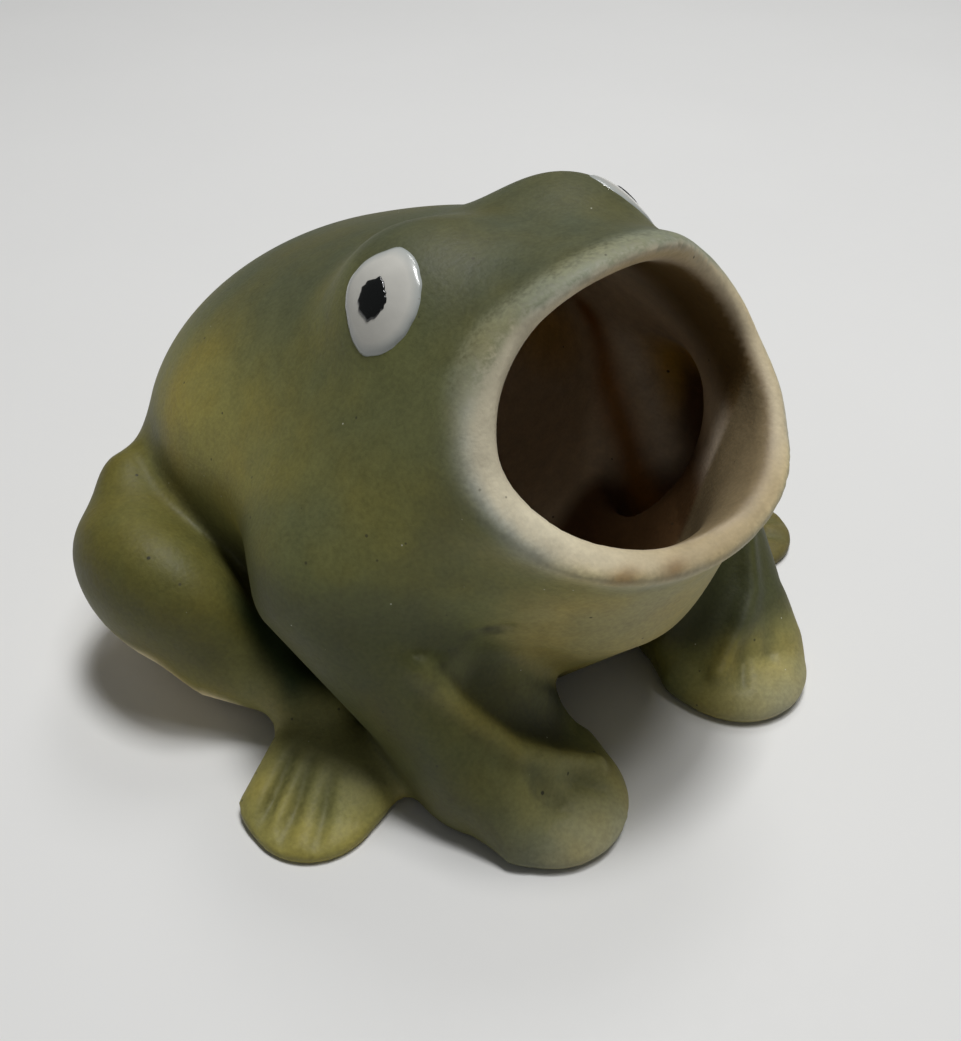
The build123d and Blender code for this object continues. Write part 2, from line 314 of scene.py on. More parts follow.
# %% Folds
RIDGE = (
    (34.0, -34.6, 28.0), (31.1, -38.5, 23.4), (25.4, -45.8, 15.0), (20.0, -48.5, 11.2),
    (13.7, -50.1, 7.2),
)
VALLEY = ((27.0, -39.5, 24.0), (23.0, -42.5, 18.5), (17.5, -44.5, 12.5), (12.5, -44.4, 8.4))
OUTER_CREASE = ((34.2, -33.6, 30.8), (31.0, -35.4, 30.0), (28.1, -37.5, 28.8))
INNER_CREASE = ((27.0, -37.4, 32.6), (22.6, -39.4, 33.0))
RIDGE_WIDTH, VALLEY_WIDTH, CREASE_WIDTH = 1.9, 4.0, 0.9
RIDGE_HEIGHT, VALLEY_HEIGHT, CREASE_HEIGHT = 1.3, -2.6, -0.4
FOLDS = (
    (RIDGE, RIDGE_WIDTH, RIDGE_HEIGHT),
    (VALLEY, VALLEY_WIDTH, VALLEY_HEIGHT),
    (OUTER_CREASE, CREASE_WIDTH, CREASE_HEIGHT),
    (INNER_CREASE, CREASE_WIDTH, CREASE_HEIGHT),
)


def fold(p, path, width, height):
    """Height times a bell curve of the distance to the nearest run of a broken line."""
    path = np.array(path)
    nearest = np.full(p.shape[:-1], np.inf)
    for start, end in zip(path[:-1], path[1:]):
        run = end - start
        share = np.clip(((p - start) @ run) / (run @ run), 0, 1)
        away = p - start - share[..., None] * run
        nearest = np.minimum(nearest, (away * away).sum(-1))
    return height * np.exp(-nearest / width**2)


# %% [markdown]
# ## Casting
# Slip leaves a wall of even thickness all over the mould, legs and all. So the hollow inside is the
# outer form drawn in by the wall, and the creases between the legs and the body show inside as ridges.
# The eye bosses and the backs of the haunches are solid clay. The lip was sponged round, and is
# thicker on the right cheek.

# %% Casting
WALL, CHEEK_WALL = 4.5, 6.3
CHEEK_BEHIND, CHEEK_SIDE = (-14, -1), (5, 22)
SHOULDER_SOFT, ANKLE_SOFT, HAUNCH_SOFT = 18.0, 5.0, 3.5
SHOULDER_HEIGHTS = (22, 42)
HOLLOW_SOFT, MOUTH_SOFT, LIP_SOFT, SOLE_SOFT = 2, 4, 3.5, 1.0


def outside(p, full=True):
    """All forms joined and folded, with nothing cut away; the shoulder melts in, the foot doesn't."""
    soft = ANKLE_SOFT + (SHOULDER_SOFT - ANKLE_SOFT) * ramp(p[..., 2], *SHOULDER_HEIGHTS)
    whole = joined(joined(body(p, full), front_leg(p), soft), hind_leg(p, full), HAUNCH_SOFT)
    return whole - sum(fold(mirrored(p), *line) for line in FOLDS)


def clay(p):
    """The outer form, opened by the mouth, hollowed by the wall, and flat under the feet."""
    ahead = ahead_of_rim(p)
    wall = WALL + (CHEEK_WALL - WALL) * ramp(ahead, *CHEEK_BEHIND) * ramp(-p[..., 0], *CHEEK_SIDE)
    hollow = cut(outside(p, full=False) + wall, WALL - p[..., 2], HOLLOW_SOFT)
    shell = cut(cut(outside(p), ahead, MOUTH_SOFT), -hollow, LIP_SOFT)
    return cut(shell, -p[..., 2], SOLE_SOFT)


# %% [markdown]
# ## From field to mesh
# A box of cells is laid over the frog. Each cell that the surface goes through gets one point, and
# each edge of the lattice that it crosses gets one four-sided face round it. Then the points are
# pulled onto the surface along the field's slope, which also gives smooth normals.

# %% Field on a lattice
STEP, COARSE, NEAR = 1.0, 5, 1.3


def slope(field, p, reach=0.05):
    """The field's rise along X, Y and Z, from points a short reach to each side."""
    ways = np.eye(3) * reach
    return np.stack([field(p + way) - field(p - way) for way in ways], -1) / (2 * reach)


def near_values(field, axes, step):
    """The field on a lattice: exact near the surface, and a block's middle value far from it."""
    middles = [axis[::COARSE] + 0.5 * step * (COARSE - 1) for axis in axes]
    blocks = field(np.stack(np.meshgrid(*middles, indexing="ij"), -1))
    for way in range(3):
        blocks = np.take(np.repeat(blocks, COARSE, way), np.arange(len(axes[way])), way)
    close = np.abs(blocks) < NEAR * step * COARSE
    points = np.stack(np.meshgrid(*axes, indexing="ij"), -1)
    blocks[close] = field(points[close])
    return blocks


# %% Skin of a lattice
def lattice_skin(field, low, high, step):
    """Points where the lattice's cells meet the surface, and the faces between them."""
    axes = [np.arange(a, b + step, step) for a, b in zip(low, high)]
    value = near_values(field, axes, step)
    shape = np.array(value.shape) - 1
    total, hits = np.zeros((*shape, 3)), np.zeros(shape)
    edges = []
    for way in range(3):
        others = [k for k in range(3) if k != way]
        first = np.take(value, np.arange(shape[way]), way)
        second = np.take(value, np.arange(1, shape[way] + 1), way)
        crossed = (first < 0) != (second < 0)
        share = np.where(crossed, first / np.where(crossed, first - second, 1), 0)
        for a in (0, 1):
            for b in (0, 1):
                part = [slice(None)] * 3
                part[others[0]] = slice(a, a + shape[others[0]])
                part[others[1]] = slice(b, b + shape[others[1]])
                hit = crossed[tuple(part)]
                total[..., way] += share[tuple(part)]
                total[..., others[0]] += a * hit
                total[..., others[1]] += b * hit
                hits += hit
        edges.append((way, others, crossed, first < 0))
    used = hits > 0
    number = np.full(shape, -1)
    number[used] = np.arange(used.sum())
    corner = np.argwhere(used)
    points = np.array(low) + step * (corner + total[used] / hits[used][:, None])
    faces = []
    for way, others, crossed, starts_inside in edges:
        at = np.argwhere(crossed)
        flip = starts_inside[crossed] != (way == 1)
        ring = []
        for a, b in ((-1, -1), (0, -1), (0, 0), (-1, 0)):
            cell = at.copy()
            cell[:, others[0]] += a
            cell[:, others[1]] += b
            ring.append(number[tuple(cell.T)])
        ring = np.stack(ring, -1)
        faces.append(np.where(flip[:, None], ring, ring[:, ::-1]))
    return points, np.concatenate(faces)


# %% Settling
LEAST_SLOPE, PULL, MARGIN = 0.05, 0.4, 2.2


def settled(field, points, most, rounds=3):
    """Points moved along the slope until the field is zero, by no more than most at a time."""
    rise = slope(field, points)
    rise = rise / np.maximum((rise * rise).sum(-1, keepdims=True), LEAST_SLOPE)
    for _ in range(rounds):
        move = field(points)[:, None] * rise
        size = np.linalg.norm(move, axis=-1, keepdims=True)
        points = points - move * np.minimum(1, most / np.maximum(size, TINY))
    rise = slope(field, points)
    return points, rise / np.maximum(np.linalg.norm(rise, axis=-1, keepdims=True), TINY)


low, high = np.array(cad_box) / MM
skin_points, skin_faces = lattice_skin(clay, low - MARGIN, high + MARGIN, STEP)
skin_points, skin_normals = settled(clay, skin_points, PULL * STEP)
print("skin:", len(skin_points), "points,", len(skin_faces), "faces")
print("skin box in mm:", skin_points.min(0).round(2), skin_points.max(0).round(2))


# %% Into a mesh
def new_piece(name, points, faces, normals=None):
    """A mesh object from arrays in millimetres, smooth, with its place in its mesh."""
    mesh = bpy.data.meshes.new(name)
    mesh.from_pydata((points * MM).tolist(), [], list(map(list, faces)))
    mesh.shade_smooth()
    if normals is not None:
        mesh.normals_split_custom_set_from_vertices(normals.tolist())
    piece = bpy.data.objects.new(name, mesh)
    scene.collection.objects.link(piece)
    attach(piece, "root")
    return piece


def store(piece, name, values, kind="FLOAT", field="value"):
    """Numbers or colours kept at the points of a piece, for its material."""
    attribute = piece.data.attributes.new(name, kind, "POINT")
    attribute.data.foreach_set(field, np.ascontiguousarray(values, np.float32).ravel())


# %% [markdown]
# ## Airbrushed coats
# The real frog was sprayed before its last firing. Dark green came from above, yellow was blown on
# to the flanks, the toes and the chest, and the lip was masked, so it stayed cream with a soft edge
# of mist. Undersides got no paint; at the back they are painted paler still, as light bounced up from
# the floor. Inside, the clay is bare and cream, orange towards the sides. Painted shade darkens the
# deep throat, a band of the inner wall and the wall under the upper lip, and painted light brightens
# another band and a patch of the wall that light reaches through the mouth. Outside, painted shade
# darkens the inner sides of the front legs, the left front leg, the valley by the front leg, the
# crease beside each haunch, the pit by the shin and the toe grooves, and a painted highlight runs
# along the right leg's ridge. A picture could be wrapped round the frog for this, but soft clouds
# need no picture: each coat is a share from 0 to 1 for every point of the skin, found from its place
# and from the way that it faces, and the coats are laid one over the other.

# %% Colours of the coats
BASE_GREEN, TOP_GREEN = (0.17, 0.178, 0.062), (0.076, 0.084, 0.043)
FLANK_YELLOW, OLIVE = (0.33, 0.3, 0.085), (0.22, 0.2, 0.04)
LEG_GREEN, INNER_LEG_SHADE = (0.085, 0.092, 0.032), (0.03, 0.037, 0.012)
LEFT_LEG_SHADE = (0.035, 0.04, 0.012)
CHEST_YELLOW, LOW_CHEST_YELLOW = (0.34, 0.3, 0.125), (0.22, 0.19, 0.04)
VALLEY_SHADE = (0.045, 0.045, 0.012)
HAUNCH_GREEN, BESIDE_HAUNCH_SHADE = (0.115, 0.11, 0.028), (0.12, 0.118, 0.045)
PIT_SHADE = (0.034, 0.055, 0.02)
FOOT_YELLOW, LEFT_FOOT_YELLOW = (0.25, 0.24, 0.085), (0.15, 0.13, 0.045)
TOE_YELLOW, LEFT_TOE_YELLOW = (0.29, 0.27, 0.08), (0.26, 0.23, 0.05)
GROOVE_SHADE, MARK_BROWN = (0.1, 0.105, 0.04), (0.05, 0.05, 0.025)
UNDER_CREAM_AND_BOUNCE = (0.78, 0.72, 0.56)
HAZE_GREY, LOW_HAZE_GREY = (0.5, 0.51, 0.43), (0.4, 0.37, 0.25)
LIP_CREAM, LOW_LIP_CREAM = (0.74, 0.67, 0.49), (0.62, 0.53, 0.35)
MIDDLE_LIP_BROWN, LEFT_LIP_CREAM = (0.49, 0.39, 0.225), (0.68, 0.58, 0.39)
CHIN_BROWN, STAIN_BROWN = (0.42, 0.33, 0.19), (0.3, 0.21, 0.11)
INSIDE_CREAM, SIDE_YELLOW = (0.8, 0.68, 0.53), (0.85, 0.54, 0.07)
THROAT_SHADE = (0.14, 0.075, 0.03)
SHADE_BAND_BROWN, LIGHT_BAND_GREY = (0.4, 0.17, 0.015), (0.93, 0.83, 0.7)
LEFT_INSIDE_SHADE, PAINTED_LIGHT_BROWN = (0.16, 0.1, 0.035), (0.23, 0.175, 0.095)


# %% Coats outside
GROOVE_FULL, MARK_REACH, BESIDE_REACH = 0.8, 0.9, 4
HIND_ANKLE, HIND_TOE_WAY = np.array([42.2, -16.9]), np.array([0.66, -0.75])
MARKS = (
    (-24.3, -57.3, 1.3), (-22.4, -57.9, 0.9), (-35.2, -43.0, 9.3), (-25.0, -37.9, 32.1),
    (-27.3, -37.1, 31.3), (-23.7, -38.5, 31.6), (-29.0, -36.4, 29.0), (-31.3, -36.5, 28.1),
    (-28.3, -38.2, 26.5), (-33.3, -36.0, 26.0),
)


def spot(p, middle, reach):
    """Bell curve about a point, with its own reach along X, Y and Z."""
    q = (p - np.array(middle)) / np.array(reach)
    return np.exp(-(q * q).sum(-1))


def outer_coats(p, n):
    """Pairs of a colour and its share at each point, for the outer skin, in the order of laying:
    sprayed coats, painted shade and painted highlights.
    """
    m, outward, z = mirrored(p), n[:, 0] * np.sign(p[:, 0]), p[:, 2]
    trunk, front, hind = body(p), front_leg(p), hind_leg(p)
    on_front = ramp(trunk - front, -3, 5) * ramp(hind - front, -1, 2)
    on_hind = ramp(np.minimum(trunk, front) - hind, -0.5, 1.5)
    on_trunk = (1 - on_front) * (1 - on_hind)
    beside = np.exp(-((np.maximum(hind, 0) / BESIDE_REACH) ** 2)) * (1 - on_hind)
    foot = on_hind * ramp(-m[:, 1], 4, 14)
    haunch = on_hind - foot
    chest = on_trunk * ramp(-n[:, 1], 0.1, 0.7) * ramp(47 - z, 0, 10) * ramp(28 - m[:, 0], 0, 10)
    front_toes = on_front * ramp(-m[:, 1], 44, 57) * ramp(13 - z, 0, 5)
    hind_toes = on_hind * ramp((m[:, :2] - HIND_ANKLE) @ HIND_TOE_WAY, 8, 22) * ramp(11 - z, 0, 4)
    pit = on_hind * ramp(10 - np.abs(m[:, 1] + 8), 0, 6) * ramp(48.5 - m[:, 0], 2, 6)
    grooves = sum(groove(m, *line) for line in FRONT_GROOVES + HIND_GROOVES)
    grooves = np.clip(grooves / GROOVE_FULL, 0, 1)
    ridge_highlight, valley = fold(m, RIDGE, RIDGE_WIDTH, 1.0), fold(m, VALLEY, VALLEY_WIDTH, 1.0)
    left = ramp(p[:, 0], -4, 4)
    return (
        (TOP_GREEN, ramp(n[:, 2], 0.3, 0.95) * ramp(z, 25, 55)),
        (FLANK_YELLOW, on_trunk * spot(m, (39, 13, 43), (16, 18, 12))),
        (OLIVE, 0.9 * on_trunk * spot(m, (36, -14, 38), (12, 14, 13))),
        (LEG_GREEN, on_front * ramp(outward, -0.3, 0.5) * ramp(47 - z, 0, 16)),
        # Painted shade: the inner side of each front leg, under the body, is made darker.
        (INNER_LEG_SHADE, on_front * ramp(-outward, 0.1, 0.6) * ramp(z, 4, 12)),
        (CHEST_YELLOW, chest),
        (LOW_CHEST_YELLOW, chest * ramp(24 - z, 0, 12)),
        # Painted shade: the valley beside the front leg's ridge is made darker.
        (VALLEY_SHADE, 0.85 * valley * ramp(z, 6, 11)),
        # Painted shade: the front of the left front leg is darker, where the body's shadow falls on it.
        (LEFT_LEG_SHADE, 0.7 * left * on_front * ramp(z, 6, 12) * ramp(34 - z, 0, 18)),
        (HAUNCH_GREEN, haunch),
        (OLIVE, haunch * ramp(18 - z, 0, 12)),
        (FOOT_YELLOW, foot),
        (TOE_YELLOW, np.maximum(front_toes * ramp(32 - m[:, 0], 0, 14), hind_toes)),
        (LEFT_TOE_YELLOW, left * front_toes),
        (LEFT_FOOT_YELLOW, left * foot),
        # Painted highlight: yellow along the crest of the right front leg's ridge.
        (FLANK_YELLOW, 0.8 * (1 - left) * ridge_highlight * ramp(31 - z, 0, 8)),
        # Painted shade: the body is darker in the crease just beside the haunch.
        (BESIDE_HAUNCH_SHADE, beside * ramp(z, 2, 8)),
        # Painted shade: the pit round the shin, between the haunch and the front leg, is made darker.
        (PIT_SHADE, pit),
        # Painted shade: the grooves between the toes are darker, most on the left feet.
        (GROOVE_SHADE, (0.35 + 0.4 * left + 0.2 * on_hind) * grooves),
        # Bare clay on the undersides at the back, made paler still as painted light bounced up from the
        # floor.
        (UNDER_CREAM_AND_BOUNCE, ramp(-n[:, 2], 0.2, 0.55) * ramp(17 - z, 0, 5) * ramp(m[:, 1], -8, -2)),
        (MARK_BROWN, np.clip(0.9 * sum(spot(p, place, MARK_REACH) for place in MARKS), 0, 1)),
    )


# %% Coats of the lip and inside
# The line of a band of painted shade inside, and the line of a band of painted light.
SHADE_BAND = ((33.5, 4.0, 42.2), (34.2, -2.4, 30.4), (32.7, -9.9, 21.9), (29.5, -17.9, 14.5))
LIGHT_BAND = ((35.7, -4.1, 39.0), (38.4, -8.8, 27.6), (36.3, -15.4, 21.0))
SHADE_BAND_WIDTH, LIGHT_BAND_WIDTH = 3.4, 3.8
LIP_STAINS = (((-15.8, -53.4, 47.6), (2.6, 1.5, 1.3)), ((-9.0, -55.6, 46.8), (2.2, 1.5, 1.2)))


def bare(p):
    """1 where the clay has no paint: on the lip and inside."""
    depth = -outside(p)
    return ramp(depth, 0.6, 2.4) * np.maximum(ramp(ahead_of_rim(p), -9, -6), ramp(depth, 2.6, 3.6))


def lip_coats(p):
    """The same for the mist round the lip, the bare lip and the bare clay inside, with painted shade
    and painted light inside.
    """
    m, z = mirrored(p), p[:, 2]
    ahead, depth = ahead_of_rim(p), -outside(p)
    low = ramp(54 - z, 0, 8)
    haze = np.exp(-((np.maximum(-ahead - 0.8, 0) / (1.3 + 3.7 * low)) ** 1.3)) * ramp(depth, -1, 0)
    lip = bare(p)
    edge = 2 - 1.8 * ramp(p[:, 0], -8, 6)
    inside = ramp(depth, 2.2, 3.6) * ramp((-ahead - edge) / 2.0, 0, 1)
    throat = inside * ramp(-p[:, 1], 10, 16) * ramp(44 - z, 0, 10)
    lit_patch = inside * ramp(-38 - p[:, 1], 0, 1.6) * ramp(60 - z, 0, 8) * ramp(p[:, 0], -14, -4)
    stains = sum(spot(p, *stain) for stain in LIP_STAINS)
    return (
        (HAZE_GREY, haze),
        (LOW_HAZE_GREY, 0.7 * haze * low),
        (LIP_CREAM, lip),
        (LOW_LIP_CREAM, lip * low),
        (MIDDLE_LIP_BROWN, lip * ramp(p[:, 0], -16, 2)),
        (LEFT_LIP_CREAM, lip * ramp(p[:, 0], 12, 22)),
        (CHIN_BROWN, 0.6 * np.maximum(lip, haze) * spot(p, (-2, -54, 46), (9, 6, 4))),
        (STAIN_BROWN, np.clip(0.95 * stains, 0, 1) * np.maximum(lip, haze)),
        (INSIDE_CREAM, inside),
        (SIDE_YELLOW, inside * ramp(m[:, 0], 34, 40)),
        # Painted shade: the deep throat inside is made darker.
        (THROAT_SHADE, throat),
        # Painted shade: a dark brown band down the inner wall.
        (SHADE_BAND_BROWN, inside * fold(m, SHADE_BAND, SHADE_BAND_WIDTH, 1.0)),
        # Painted light: a pale grey band down the inner wall, where it faces the mouth.
        (LIGHT_BAND_GREY, inside * fold(m, LIGHT_BAND, LIGHT_BAND_WIDTH, 1.0)),
        # Painted shade: the inner wall on the frog's left, under the upper lip, is made darker.
        (LEFT_INSIDE_SHADE, inside * ramp(p[:, 0], 0, 16) * ramp(ahead, -22, -8)),
        # Painted light: a lighter patch of the inner wall where light falls in through the mouth, with
        # a sharp edge.
        (PAINTED_LIGHT_BROWN, lit_patch),
    )


# %% Coats over each other
def painted(p, n):
    """The base green, covered by each coat in turn by its share."""
    colour = np.tile(np.array(BASE_GREEN), (len(p), 1))
    for tint, share in outer_coats(p, n) + lip_coats(p):
        colour = colour + share[:, None] * (np.array(tint) - colour)
    return colour


def mist(p, n):
    """Where spray from above fell on the lip: on the upper part that faces up."""
    depth = -outside(p)
    up = ramp(n[:, 2], 0.3, 0.7) * ramp(p[:, 2], 62, 72)
    return up * ramp(ahead_of_rim(p), -5, -2.5) * (1 - ramp(depth, 2.6, 4))


# %% [markdown]
# ## One piece for each form
# The frog came out of its mould in one piece, but a library part is easier to use when its forms are
# separate. Each face of the skin goes to the form whose field is smallest there. A leg's patch of skin
# gets a copy of itself a little deeper and a strip round its border, so the leg is closed. The body
# keeps the rest of the skin and closes with the same copies, so the two fit with no gap.

# %% Patches
LEG_SKIN, SKIN_DEPTH, SOLE_HEIGHT = 0.8, 1.5, 0.6


def closed_patch(points, faces, normals, patch, depth):
    """A patch's faces, the same faces drawn in by depth and turned round, and the strip between."""
    used = np.unique(faces[patch])
    deep = np.full(len(points), -1)
    deep[used] = len(points) + np.arange(len(used))
    edges = np.concatenate([faces[patch][:, [k, (k + 1) % 4]] for k in range(4)])
    key = np.sort(edges, 1) @ np.array([len(points), 1])
    _, first, count = np.unique(key, return_index=True, return_counts=True)
    border = edges[first[count == 1]]
    strip = np.stack([border[:, 1], border[:, 0], deep[border[:, 0]], deep[border[:, 1]]], -1)
    floor = deep[faces[patch]][:, ::-1]
    return points[used] - depth * normals[used], normals[used], np.concatenate([floor, strip])


def piece_of(name, points, faces, normals):
    """A piece from some faces of a shared set of points, with only the points that it uses."""
    used, small = np.unique(faces, return_inverse=True)
    piece = new_piece(name, points[used], small.reshape(faces.shape), normals[used])
    colour = np.column_stack([painted(points[used], normals[used]), np.ones(len(used))])
    store(piece, "paint", colour, "FLOAT_COLOR", "color")
    store(piece, "bare", bare(points[used]))
    store(piece, "mist", mist(points[used], normals[used]))
    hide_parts(name)
    print(name, len(used), "points,", len(faces), "faces")
    return piece


# %% One piece for each form
middle = skin_points[skin_faces].mean(1)
fields = np.stack([body(middle), front_leg(middle), hind_leg(middle)])
outer_skin = (outside(middle) > -SKIN_DEPTH) | (middle[:, 2] < SOLE_HEIGHT)
form = np.where(outer_skin, fields.argmin(0), 0)
clay_pieces = {}
body_faces = [skin_faces[form == 0]]
points, normals = skin_points, skin_normals
for form_number, form_name in ((1, "front_leg"), (2, "hind_leg")):
    for side_name, side in (("right", -1), ("left", 1)):
        patch = (form == form_number) & (middle[:, 0] * side > 0)
        deeper, deeper_normals, closing = closed_patch(points, skin_faces, normals, patch, LEG_SKIN)
        points, normals = np.concatenate([points, deeper]), np.concatenate([normals, deeper_normals])
        name = f"{side_name}_{form_name}"
        leg_faces = np.concatenate([skin_faces[patch], closing])
        clay_pieces[name] = piece_of(name, points, leg_faces, normals)
        body_faces.append(closing[:, ::-1])
clay_pieces["body_shell"] = piece_of("body_shell", points, np.concatenate(body_faces), normals)

# %% [markdown]
# ## Eyes
# Each eye is a thick drop of white enamel on its boss, and a black one on that. Both are discs over
# two parameters: the angle round the middle and the share of the way to the edge. The disc is laid
# down onto the clay along the direction of the gaze, and it is closed underneath. The left eye
# mirrors the right one.

# %% Eyes
EYE_MIDDLE = np.array([-21.89, -13.06, 71.22])
EYE_GAZE = np.array([-0.757, -0.113, 0.644])
EYE_ACROSS = np.array([0.147, -0.989, 0.0])
EYE_UP = np.array([0.637, 0.095, 0.765])
EYE_ANGLES = (-180, -154, -126, -104, -87, -63, -40, -19, 6, 30, 52, 81, 99, 117, 144, 180)
EYE_RADII = (6.2, 5.7, 5.8, 6.8, 7.35, 7.0, 6.8, 6.5, 6.2, 6.2, 6.4, 6.95, 7.4, 6.8, 6.3, 6.2)
PUPIL_ANGLES = (-180, -141, -110, -90, -59, -32, 1, 40, 78, 98, 130, 161, 180)
PUPIL_RADII = (2.7, 2.8, 3.1, 3.2, 2.5, 2.2, 1.9, 1.8, 2.1, 2.75, 2.6, 2.65, 2.7)
WHITE_THICK, PUPIL_THICK, SUNK = 0.4, 0.3, 0.6
PUPIL_BASE = 0.9 * WHITE_THICK
WHITE_RAGGED, PUPIL_RAGGED = 0.006, 0.03
RINGS, SPOKES = 20, 96
RING_SHARES = np.linspace(0.02, 1, RINGS)
LAY_START, LAY_SHARE, LAY_ROUNDS = 3.0, 0.8, 40


def laid(places, way):
    """Places moved along a way, from a start above the clay, until they meet it."""
    move = np.full(places.shape[:-1], LAY_START)
    for _ in range(LAY_ROUNDS):
        move = move - LAY_SHARE * clay(places + move[..., None] * way)
    return places + move[..., None] * way


def drop(angles, radii, ragged, base, thick):
    """Disc whose top is the base plus the thickness times a root that falls to zero at the edge."""
    angle = np.linspace(-np.pi, np.pi, SPOKES, endpoint=False)
    wave = 1 + ragged * (np.sin(5 * angle + 1) + np.sin(11 * angle) + 0.7 * np.sin(17 * angle + 2))
    reach = RING_SHARES[:, None] * curve(np.degrees(angle), angles, radii) * wave
    flat = EYE_MIDDLE + (reach * np.cos(angle))[..., None] * EYE_ACROSS
    ground = laid(flat + (reach * np.sin(angle))[..., None] * EYE_UP, EYE_GAZE)
    top = ground + (base + thick * np.sqrt(1 - RING_SHARES**6))[:, None, None] * EYE_GAZE
    under = ground[::-1] - SUNK * EYE_GAZE
    return np.concatenate([top, under]).reshape(-1, 3)


def drop_faces():
    """Four-sided faces between neighbouring rings, and one many-sided face at each middle."""
    ring = np.arange(2 * RINGS * SPOKES).reshape(2 * RINGS, SPOKES)
    after = np.roll(ring, -1, 1)
    sides = np.stack([ring[:-1], ring[1:], after[1:], after[:-1]], -1).reshape(-1, 4)
    return [*sides.tolist(), ring[0].tolist(), ring[-1][::-1].tolist()]


# %% Four drops
eye_pieces = {}
edge_shares = np.repeat(np.concatenate([RING_SHARES, RING_SHARES[::-1]]), SPOKES)
for kind, slot, outline in (
    ("eye", "eye_white", (EYE_ANGLES, EYE_RADII, WHITE_RAGGED, 0.0, WHITE_THICK)),
    ("pupil", "pupil_black", (PUPIL_ANGLES, PUPIL_RADII, PUPIL_RAGGED, PUPIL_BASE, PUPIL_THICK)),
):
    right_shape = drop(*outline)
    for side_name, flip in (("right", 1), ("left", -1)):
        name = f"{side_name}_{kind}"
        shape = right_shape * np.array([flip, 1, 1])
        faces = drop_faces() if flip == 1 else [face[::-1] for face in drop_faces()]
        eye_pieces[name] = new_piece(name, shape, faces)
        store(eye_pieces[name], "edge", edge_shares)
        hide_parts(name)
        print(name, "middle in mm:", shape.mean(0).round(1))

# %% [markdown]
# ## Materials
# A finish is a tree of small steps: noises, ramps and sums feed the sockets of one surface. Each
# socket is wrapped here, so that a sum in the tree reads like a sum of plain numbers.

# %% Wires
# The mix node's sockets for colours go by number.
MIX_SHARE, MIX_FIRST, MIX_SECOND, MIXED_COLOUR = 0, 6, 7, 2


class Wire:
    """A socket of a shader tree that adds, subtracts and multiplies like a number."""

    def __init__(self, tree, socket=None):
        self.tree, self.socket = tree, socket

    def node(self, kind, sockets=None, out=0, stops=None, **settings):
        """Any node: its settings first, with the stops of a ramp, then its sockets, then one output."""
        made = self.tree.nodes.new(kind)
        for name, value in settings.items():
            setattr(made, name, value)
        for number, (place, value) in enumerate(stops or ()):
            mark = made.color_ramp.elements[number]
            mark.position, mark.color = place, (value, value, value, 1)
        for name, value in (sockets or {}).items():
            if isinstance(value, Wire):
                self.tree.links.new(value.socket, made.inputs[name])
            else:
                made.inputs[name].default_value = value
        return Wire(self.tree, made.outputs[out])

    def math(self, operation, a, b):
        """One sum of two numbers or wires."""
        return self.node("ShaderNodeMath", {0: a, 1: b}, operation=operation)

    def __add__(self, other):
        return self.math("ADD", self, other)

    def __mul__(self, other):
        return self.math("MULTIPLY", self, other)

    def __rsub__(self, other):
        return self.math("SUBTRACT", other, self)

    __radd__, __rmul__ = __add__, __mul__

    def between(self, first, second, way="MIX"):
        """With this number as the share, a colour between two."""
        sockets = {MIX_SHARE: self, MIX_FIRST: first, MIX_SECOND: second}
        return self.node("ShaderNodeMix", sockets, MIXED_COLOUR, data_type="RGBA", blend_type=way)

    def mixed(self, other, share):
        """This colour with a share of another one over it."""
        return share.between(self, other)

    def times(self, number):
        """This colour, brighter or darker by a number."""
        return self.node("ShaderNodeVectorMath", {0: self, "Scale": number}, operation="SCALE")

    def ramp(self, *stops):
        """This number through a ramp between two stops, each one a place and a value."""
        return self.node("ShaderNodeValToRGB", {0: self}, stops=stops)


# %% Steps of a finish
SPECK_CORE, SPECK_STEP = 0.6, 0.02
BUMP_DEPTH = 0.0004


def new_material(name):
    """A material, its surface's sockets by name, and a wire to start from."""
    material = bpy.data.materials.new(name)
    material.use_nodes = True
    tree = material.node_tree
    surface = tree.nodes["Principled BSDF"]

    def feed(**sockets):
        """Wires or values into sockets of the surface, with _ for a space in their names."""
        for socket_name, value in sockets.items():
            socket = surface.inputs[socket_name.replace("_", " ")]
            if isinstance(value, Wire):
                tree.links.new(value.socket, socket)
            else:
                socket.default_value = value

    return material, feed, Wire(tree)


def stored(wire, name, out="Fac"):
    """What the mesh keeps at its points under a name: a number, or a colour if that is asked for."""
    return wire.node("ShaderNodeAttribute", out=out, attribute_name=name)


def noise(wire, scale, detail=2.0):
    """Cloudy noise in the part's own coordinates, with lumps of about one over the scale in metres."""
    place = wire.node("ShaderNodeTexCoord", out="Object")
    return wire.node("ShaderNodeTexNoise", {"Vector": place, "Scale": scale, "Detail": detail}, "Fac")


def specks(wire, scale, size, shown):
    """Round specks: near the middle of a cell, and only in the cells whose random number is low."""
    place = wire.node("ShaderNodeTexCoord", out="Object")
    near = wire.node("ShaderNodeTexVoronoi", {"Vector": place, "Scale": scale}, "Distance")
    random = wire.node("ShaderNodeTexVoronoi", {"Vector": place, "Scale": scale}, "Color")
    random = wire.node("ShaderNodeSeparateColor", {0: random})
    chosen = random.ramp((shown, 1.0), (shown + SPECK_STEP, 0.0))
    return near.ramp((SPECK_CORE * size, 1.0), (size, 0.0)) * chosen


def bumpy(wire, strength, height):
    """The surface's normal, tipped by the slope of a height."""
    sockets = {"Strength": strength, "Distance": BUMP_DEPTH, "Height": height}
    return wire.node("ShaderNodeBump", sockets, "Normal")


# %% [markdown]
# ## Bisque
# Bisque is matte and a little rough, so light spreads on it. Spray shows as fine grain and soft
# clouds, and years on a shelf have left dark specks, pale sparkles of grit and small knocks. All of
# these are noises and specks over the coats, so they need no picture either.

